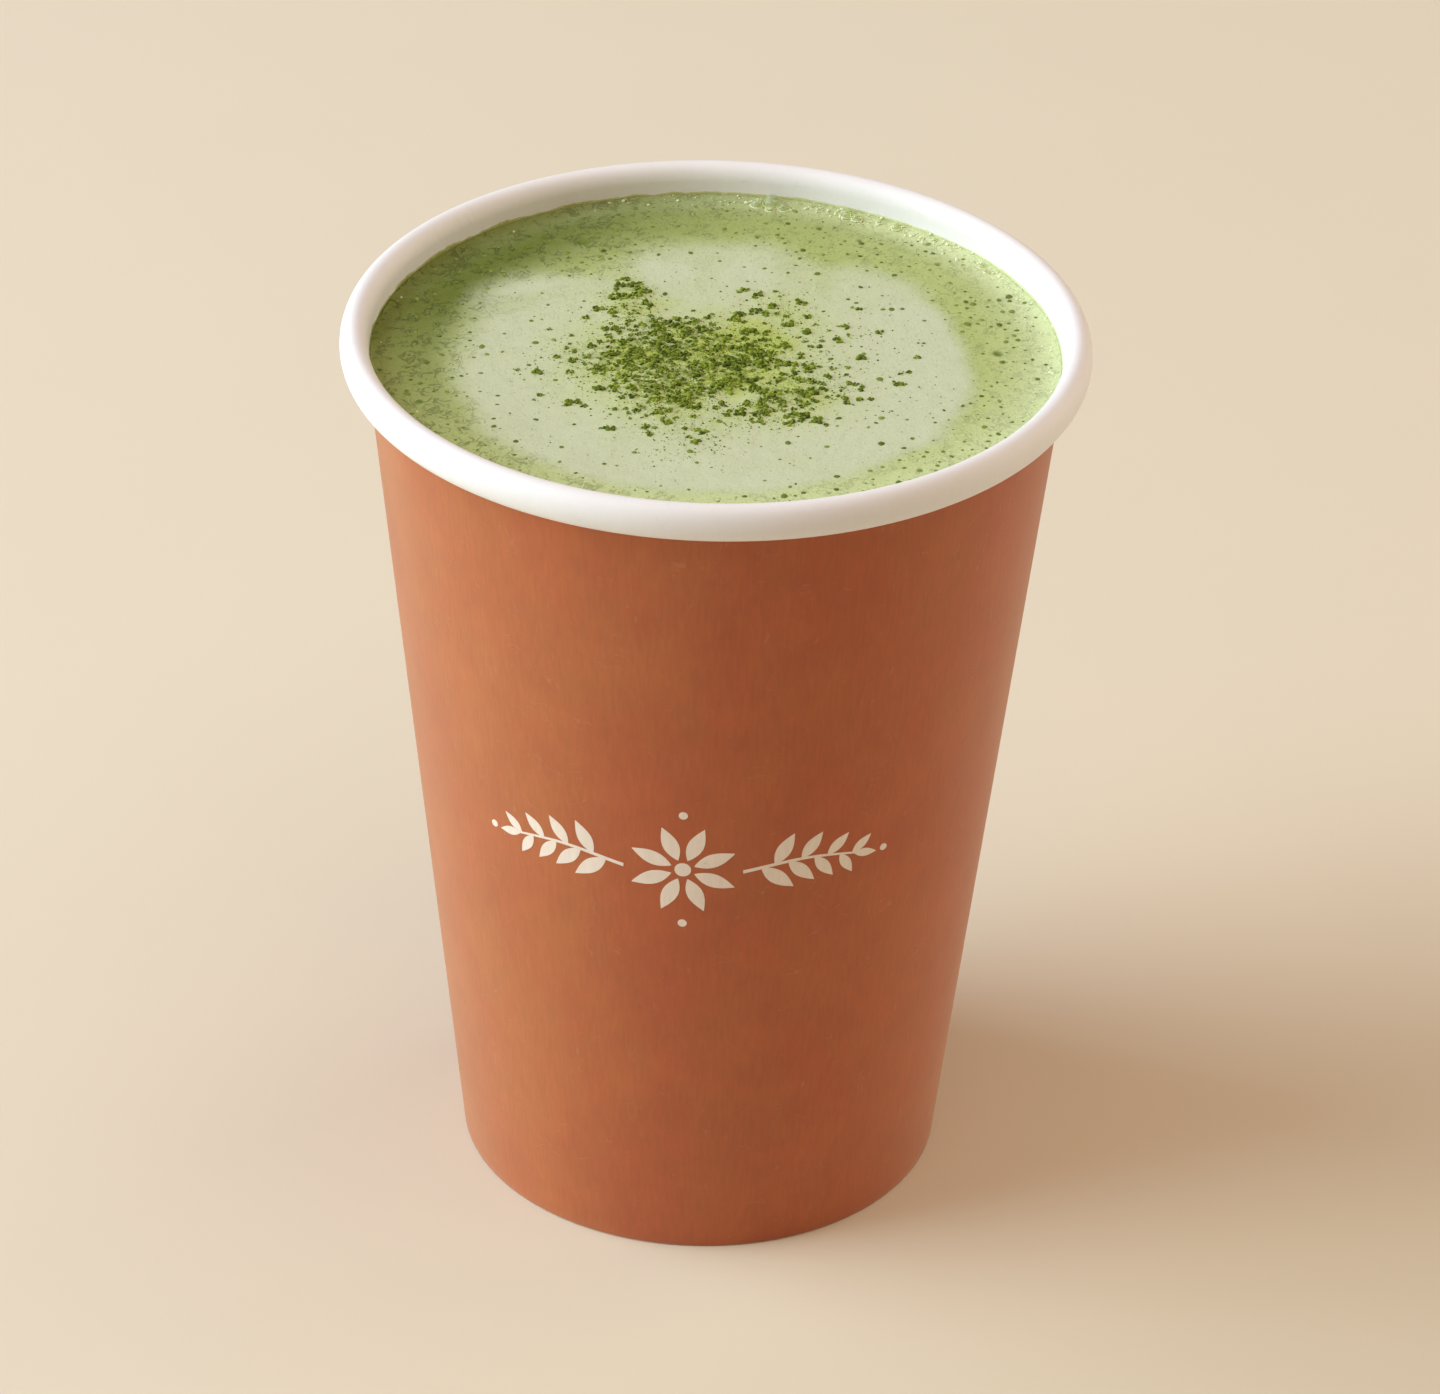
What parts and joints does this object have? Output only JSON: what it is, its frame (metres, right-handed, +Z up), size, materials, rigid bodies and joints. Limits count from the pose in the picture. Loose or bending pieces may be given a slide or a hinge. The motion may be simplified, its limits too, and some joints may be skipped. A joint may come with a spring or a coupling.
{
  "type": "matcha latte",
  "caption": "Matcha latte in a tapered paper cup with a rolled rim: green foam, a pale milk patch in its middle and sifted powder on top.",
  "frame": {"origin": "on the cup's axis, in the plane that the cup stands on", "axes": "+Z up along the cup's axis, +Y towards the lapped seam at the back, -Y towards the picture's camera"},
  "size_m": [0.09, 0.09, 0.114],
  "materials": {
    "printed_board": "matte terracotta print over white coated board, with a faint short paper fibre",
    "white_board": "smooth white coated board, soft gloss",
    "matcha_foam": "moist pale green foam with fine bubbles, a paler milk patch and dark green matcha powder"
  },
  "bodies": {
    "root": {"cup_wall": "printed_board", "cup_floor": "white_board", "matcha_latte": "matcha_foam"}
  },
  "joints": []
}
